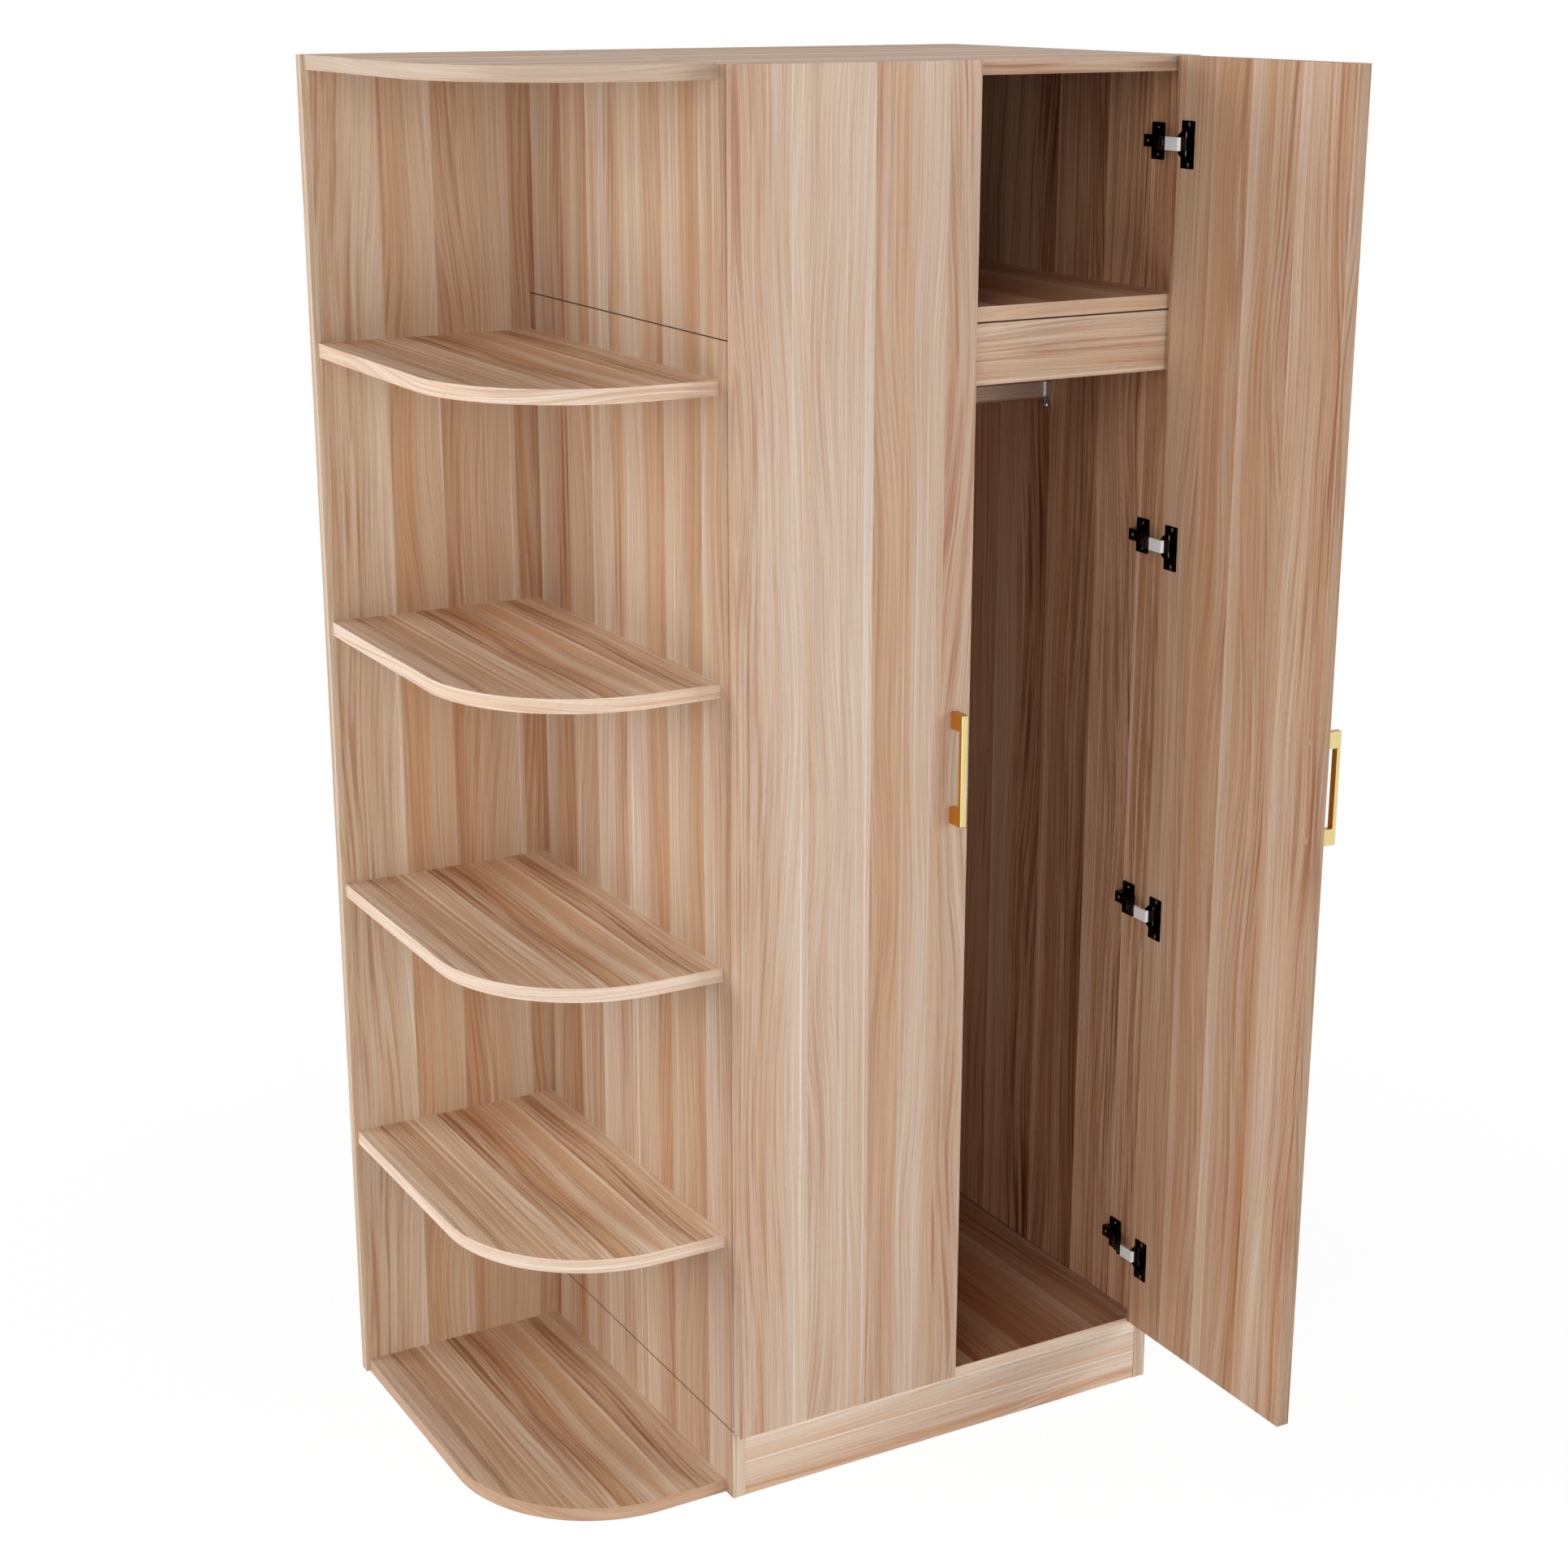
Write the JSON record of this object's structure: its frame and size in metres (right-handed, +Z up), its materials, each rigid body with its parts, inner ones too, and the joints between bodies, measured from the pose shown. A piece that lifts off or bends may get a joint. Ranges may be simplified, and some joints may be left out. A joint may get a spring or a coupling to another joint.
{
  "type": "wardrobe",
  "caption": "Two-door wood-laminate wardrobe with a hat shelf, hanging rail, bow handles, cup hinges and an open round-cornered end-shelf unit.",
  "frame": {"origin": "on the floor under the middle of the part's box, with the right door open and the left door shut", "axes": "+Z up, +Y from the doors towards the wall, +X from the end shelves towards the right side"},
  "size_m": [0.9604, 0.8922, 1.8],
  "materials": {
    "laminate": "light wood-grain laminate, satin",
    "back_panel": "thin laminated fibreboard, matt",
    "hinge_metal": "dark glossy plated steel",
    "link_metal": "bright plated steel",
    "screw_steel": "bright zinc",
    "handle_metal": "polished gold colour",
    "cap_plastic": "matt, board colour",
    "rail_aluminium": "satin anodised",
    "cam_metal": "die-cast zinc",
    "dowel_wood": "bare beech"
  },
  "bodies": {
    "carcass": {"plinth_left_side": "laminate", "plinth_right_side": "laminate", "lower_left_side": "laminate", "lower_right_side": "laminate", "upper_left_side": "laminate", "upper_right_side": "laminate", "floor_board": "laminate", "hat_shelf": "laminate", "top_board": "laminate", "front_rail": "laminate", "rear_rail": "laminate", "plinth_front": "laminate", "plinth_back": "laminate", "lower_back_panel": "back_panel", "upper_back_panel": "back_panel", "end_back_board": "laminate", "end_bottom_board": "laminate", "end_shelf_1": "laminate", "end_shelf_2": "laminate", "end_shelf_3": "laminate", "end_shelf_4": "laminate", "end_top_board": "laminate", "hanging_rail": "rail_aluminium", "rail_socket_right": "rail_aluminium", "rail_socket_left": "rail_aluminium", "rail_socket_screws": "screw_steel", "cam_discs": "cam_metal", "cam_bolts": "screw_steel", "dowels": "dowel_wood", "end_back_screws": "screw_steel", "left_hinge_plates": "hinge_metal", "right_hinge_plates": "hinge_metal", "left_hinge_arms": "hinge_metal", "right_hinge_arms": "hinge_metal", "left_arm_pins": "screw_steel", "right_arm_pins": "screw_steel", "left_plate_screws": "screw_steel", "right_plate_screws": "screw_steel", "left_arm_screws": "screw_steel", "right_arm_screws": "screw_steel"},
    "left_links": {"left_hinge_links": "link_metal"},
    "right_links": {"right_hinge_links": "link_metal"},
    "left_door": {"left_door_panel": "laminate", "left_hinge_cups": "hinge_metal", "left_cup_pins": "screw_steel", "left_cup_screws": "screw_steel", "left_handle": "handle_metal", "left_handle_screws": "screw_steel", "left_screw_caps": "cap_plastic"},
    "right_door": {"right_door_panel": "laminate", "right_hinge_cups": "hinge_metal", "right_cup_pins": "screw_steel", "right_cup_screws": "screw_steel", "right_handle": "handle_metal", "right_handle_screws": "screw_steel", "right_screw_caps": "cap_plastic"}
  },
  "joints": [
    {"name": "left_link_turn", "type": "hinge", "parent": "carcass", "child": "left_links", "pos_m": [-0.14125, -0.09994, 0.9485], "axis": [0, 0, 1], "range_deg": [0, 35.89]},
    {"name": "left_door_turn", "type": "hinge", "parent": "left_links", "child": "left_door", "pos_m": [-0.16875, -0.12194, 0.9485], "axis": [0, 0, 1], "range_deg": [-130.89, 0]},
    {"name": "right_link_turn", "type": "hinge", "parent": "carcass", "child": "right_links", "pos_m": [0.43175, -0.09994, 0.9485], "axis": [0, 0, 1], "range_deg": [-1.89, 34]},
    {"name": "right_door_turn", "type": "hinge", "parent": "right_links", "child": "right_door", "pos_m": [0.44225, -0.13356, 0.9485], "axis": [0, 0, 1], "range_deg": [-124, 6.89]}
  ],
  "couplings": [
    {"joint": "left_link_turn", "follows": "left_door_turn", "ratio": -0.27419},
    {"joint": "right_link_turn", "follows": "right_door_turn", "ratio": -0.27419}
  ]
}
